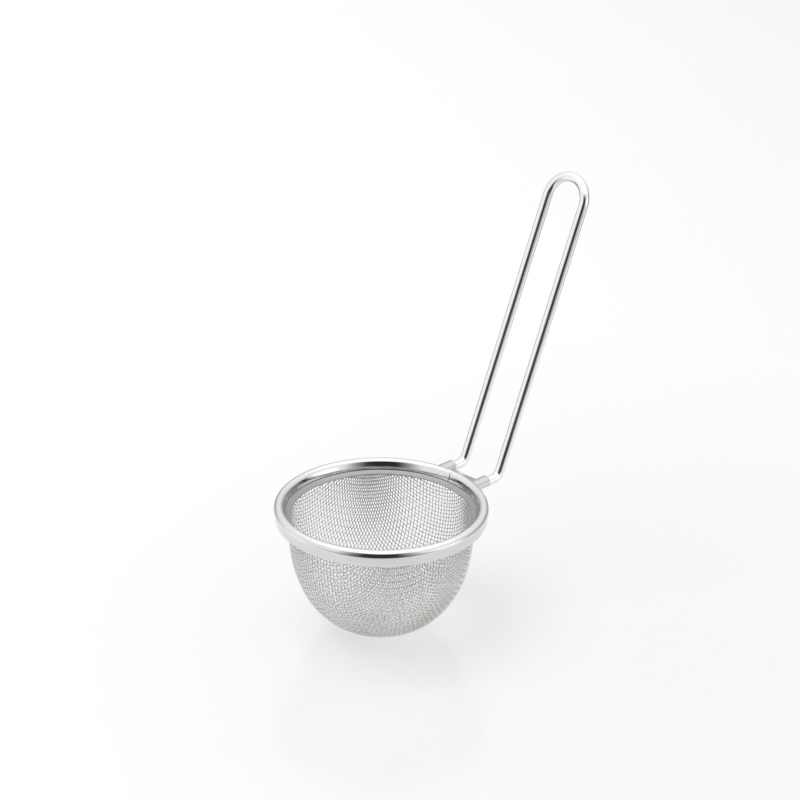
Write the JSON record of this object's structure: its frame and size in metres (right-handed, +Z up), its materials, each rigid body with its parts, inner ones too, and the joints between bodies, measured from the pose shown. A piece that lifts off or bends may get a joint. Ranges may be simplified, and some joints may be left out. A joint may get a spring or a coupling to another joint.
{
  "type": "tea strainer",
  "caption": "Deep round tea strainer: a bowl of woven wire cloth in a rolled steel rim band, with a long upright hairpin handle of round wire.",
  "frame": {"origin": "centre of the bowl's foot, the flat underside that the strainer is set down on", "axes": "+Z up through the bowl's mouth; +X towards the handle, which leans out and up in the XZ plane; +Y across the handle's two legs"},
  "size_m": [0.1231, 0.07, 0.1378],
  "materials": {
    "cloth": "woven round wire, bright drawn",
    "sheet": "polished sheet",
    "wire": "polished round wire"
  },
  "bodies": {
    "root": {"woven_bowl": "cloth", "rim_band": "sheet", "clamping_ring": "sheet", "handle_bracket": "sheet", "handle_wire": "wire"}
  },
  "joints": []
}
